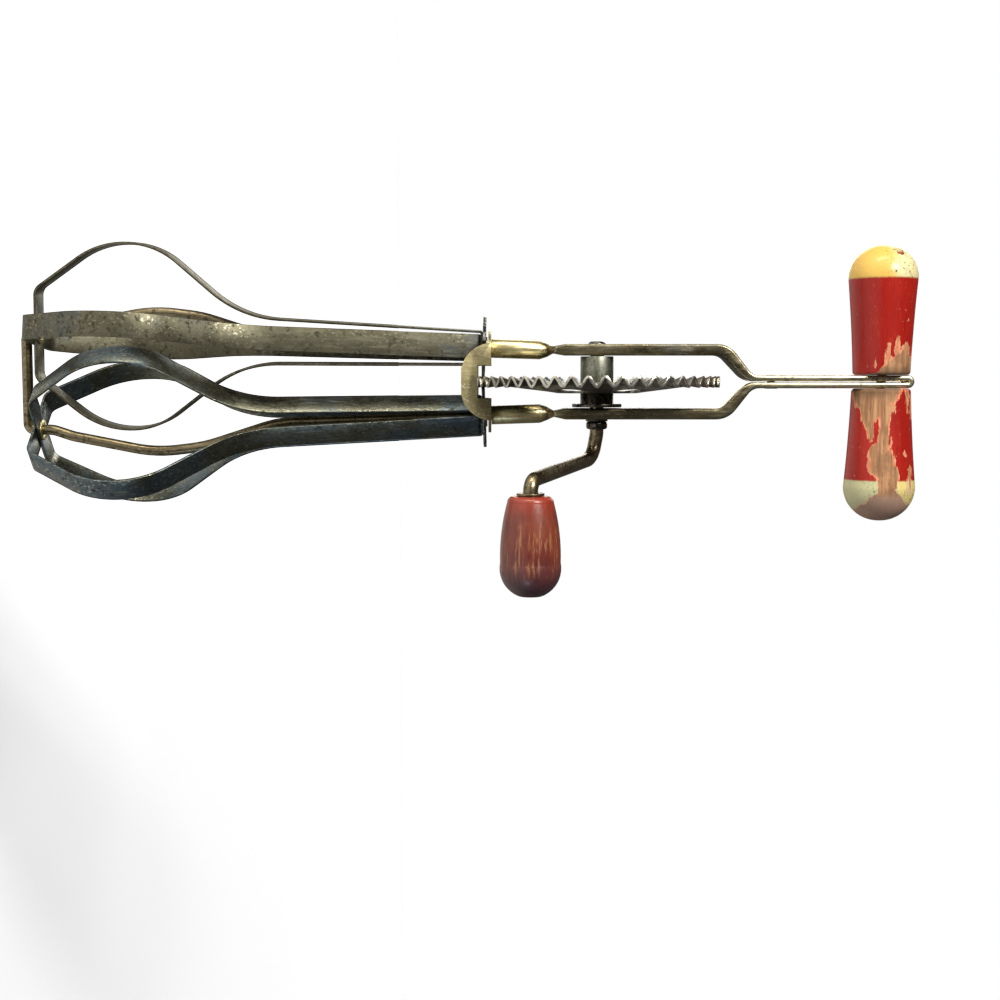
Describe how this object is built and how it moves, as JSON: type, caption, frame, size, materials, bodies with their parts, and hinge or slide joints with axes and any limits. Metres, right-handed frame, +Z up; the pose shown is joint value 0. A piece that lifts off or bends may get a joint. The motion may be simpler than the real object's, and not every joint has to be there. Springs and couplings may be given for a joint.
{
  "type": "rotary egg whisk",
  "caption": "Hand-cranked rotary whisk with a painted wooden T-handle, forked steel frame, corrugated drive wheel and two counter-turning splayed dashers.",
  "frame": {"origin": "centre of the T-handle, where the hand holds the whisk", "axes": "+Z up along the shank away from the dashers, +X towards the crank side, the drive wheel lies in the YZ plane"},
  "size_m": [0.1093, 0.0931, 0.2923],
  "materials": {
    "painted_wood": "worn gloss paint",
    "varnished_wood": "worn red-brown stain",
    "plated_strip": "tarnished plating",
    "gilt_sheet": "tarnished gold-toned plating",
    "steel_rod": "tarnished plating",
    "wheel_sheet": "tarnished plating",
    "pinion_sheet": "dark worn plating",
    "blade_strip": "speckled tarnish",
    "eyelet_brass": "dull",
    "hub_steel": "dull grey",
    "small_steel": "dark worn"
  },
  "bodies": {
    "frame": {"frame_strip": "plated_strip", "handle_half_left": "painted_wood", "handle_half_right": "painted_wood", "handle_rod": "small_steel", "shank_rivet": "small_steel", "centre_wire": "steel_rod", "pinion_bridge": "gilt_sheet"},
    "crank": {"crank_rod": "steel_rod", "drive_wheel": "wheel_sheet", "wheel_sleeve": "hub_steel", "wheel_spool": "hub_steel", "crank_bush": "small_steel", "crank_collar": "small_steel", "axle_washer": "small_steel", "axle_rivet_head": "small_steel", "knob_washer": "small_steel", "knob_retainer": "small_steel"},
    "knob": {"crank_knob": "varnished_wood"},
    "beater_left": {"pinion_left": "pinion_sheet", "hub_eyelet_left": "eyelet_brass", "inner_loop_left": "blade_strip", "outer_loop_left": "blade_strip", "tip_eyelet_left": "eyelet_brass"},
    "beater_right": {"pinion_right": "pinion_sheet", "hub_eyelet_right": "eyelet_brass", "inner_loop_right": "blade_strip", "outer_loop_right": "blade_strip", "tip_eyelet_right": "eyelet_brass"}
  },
  "joints": [
    {"name": "crank_turn", "type": "hinge", "parent": "frame", "child": "crank", "pos_m": [0, 0, -0.093], "axis": [1, 0, 0], "continuous": true},
    {"name": "knob_spin", "type": "hinge", "parent": "crank", "child": "knob", "pos_m": [0.049, -0.044, -0.1156], "axis": [1, 0, 0], "continuous": true},
    {"name": "left_beater_spin", "type": "hinge", "parent": "frame", "child": "beater_left", "pos_m": [-0.01095, 0, -0.1299], "axis": [0.0327, 0, 0.9995], "continuous": true},
    {"name": "right_beater_spin", "type": "hinge", "parent": "frame", "child": "beater_right", "pos_m": [0.01095, 0, -0.1299], "axis": [-0.0327, 0, 0.9995], "continuous": true}
  ],
  "couplings": [
    {"joint": "left_beater_spin", "follows": "crank_turn", "ratio": 4},
    {"joint": "right_beater_spin", "follows": "crank_turn", "ratio": -4}
  ]
}
